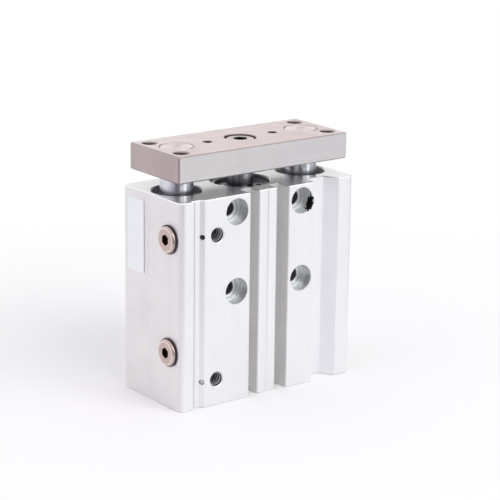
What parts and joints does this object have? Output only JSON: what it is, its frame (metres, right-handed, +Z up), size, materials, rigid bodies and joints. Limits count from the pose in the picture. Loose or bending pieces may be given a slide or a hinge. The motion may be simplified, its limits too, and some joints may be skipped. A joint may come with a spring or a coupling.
{
  "type": "guided pneumatic cylinder",
  "caption": "Compact air cylinder in an aluminium block: a central piston rod and two side guide rods push a steel tooling plate straight up.",
  "frame": {"origin": "centre of the housing's bottom face, which is also the centre of the bottom thread pattern, with the carriage retracted", "axes": "+Z up along the stroke, from the housing to the tooling plate; X across the two guide rods, with the side port plugs on -X; the face with the sensor slots and front ports looks along -Y"},
  "size_m": [0.0655, 0.03, 0.076],
  "materials": {
    "anodised_aluminium": "clear anodised, satin, machined end faces",
    "turned_aluminium": "turned and chromated",
    "bronze": "turned sliding bronze",
    "rubber": "moulded nitrile",
    "spring_steel": "plated spring steel",
    "nickel_brass": "bright nickel plating over brass",
    "bearing_steel": "polished bearing steel",
    "label_film": "blank satin film",
    "nickel_steel": "electroless nickel plating over ground steel",
    "hard_chrome": "ground hard chrome",
    "bonded_magnet": "bonded ferrite ring",
    "screw_steel": "nickel plated screw"
  },
  "bodies": {
    "housing": {"body": "anodised_aluminium", "rod_cover": "turned_aluminium", "rod_bush": "bronze", "rod_seal": "rubber", "rod_cover_gasket": "rubber", "rod_cover_retaining_ring": "spring_steel", "front_bumper": "rubber", "head_cover": "turned_aluminium", "head_cover_gasket": "rubber", "head_cover_retaining_ring": "spring_steel", "rear_bumper": "rubber", "guide_bush_upper_left": "bronze", "guide_bush_upper_right": "bronze", "guide_bush_lower_left": "bronze", "guide_bush_lower_right": "bronze", "port_plug_upper": "nickel_brass", "port_plug_lower": "nickel_brass", "plug_gasket_upper": "rubber", "plug_gasket_lower": "rubber", "ball_plug_upper": "bearing_steel", "ball_plug_lower": "bearing_steel", "label": "label_film"},
    "carriage": {"tooling_plate": "nickel_steel", "guide_rod_left": "hard_chrome", "guide_rod_right": "hard_chrome", "piston_rod": "hard_chrome", "piston": "turned_aluminium", "piston_seal": "rubber", "piston_magnet": "bonded_magnet", "rod_screw": "screw_steel"}
  },
  "joints": [
    {"name": "carriage_slide", "type": "slide", "parent": "housing", "child": "carriage", "axis": [0, 0, 1], "range_m": [0, 0.03]}
  ]
}
